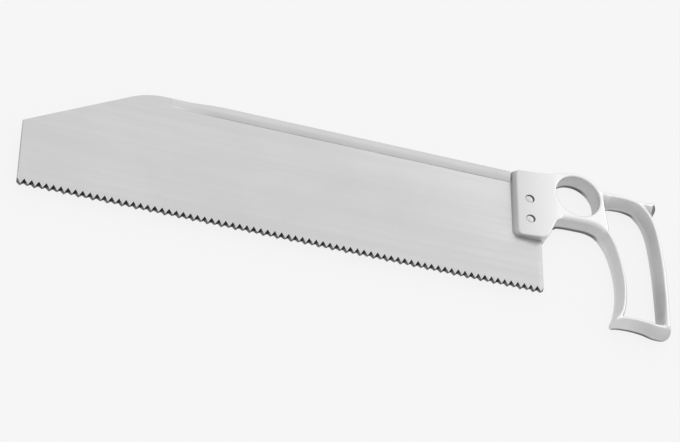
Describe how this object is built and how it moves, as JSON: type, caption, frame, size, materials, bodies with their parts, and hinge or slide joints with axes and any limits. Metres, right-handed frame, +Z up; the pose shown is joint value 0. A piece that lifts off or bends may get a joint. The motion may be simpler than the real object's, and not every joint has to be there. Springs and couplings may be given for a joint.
{
  "type": "amputation saw",
  "caption": "Bone saw with a flat toothed blade, clipped nose and folded spine, riveted in a cast handle with a finger ring and an open pistol grip.",
  "frame": {"origin": "middle of the saw's outline in plan, on the surface that it lies on", "axes": "+X along the blade from toe to handle, +Y from the teeth to the spine, +Z up out of the upper face"},
  "size_m": [0.2862, 0.0756, 0.0095],
  "materials": {
    "blade_steel": "satin",
    "spine_steel": "satin",
    "cast_alloy": "satin",
    "rivet_steel": "polished"
  },
  "bodies": {
    "root": {"blade": "blade_steel", "spine": "spine_steel", "handle": "cast_alloy", "upper_rivet": "rivet_steel", "lower_rivet": "rivet_steel"}
  },
  "joints": []
}
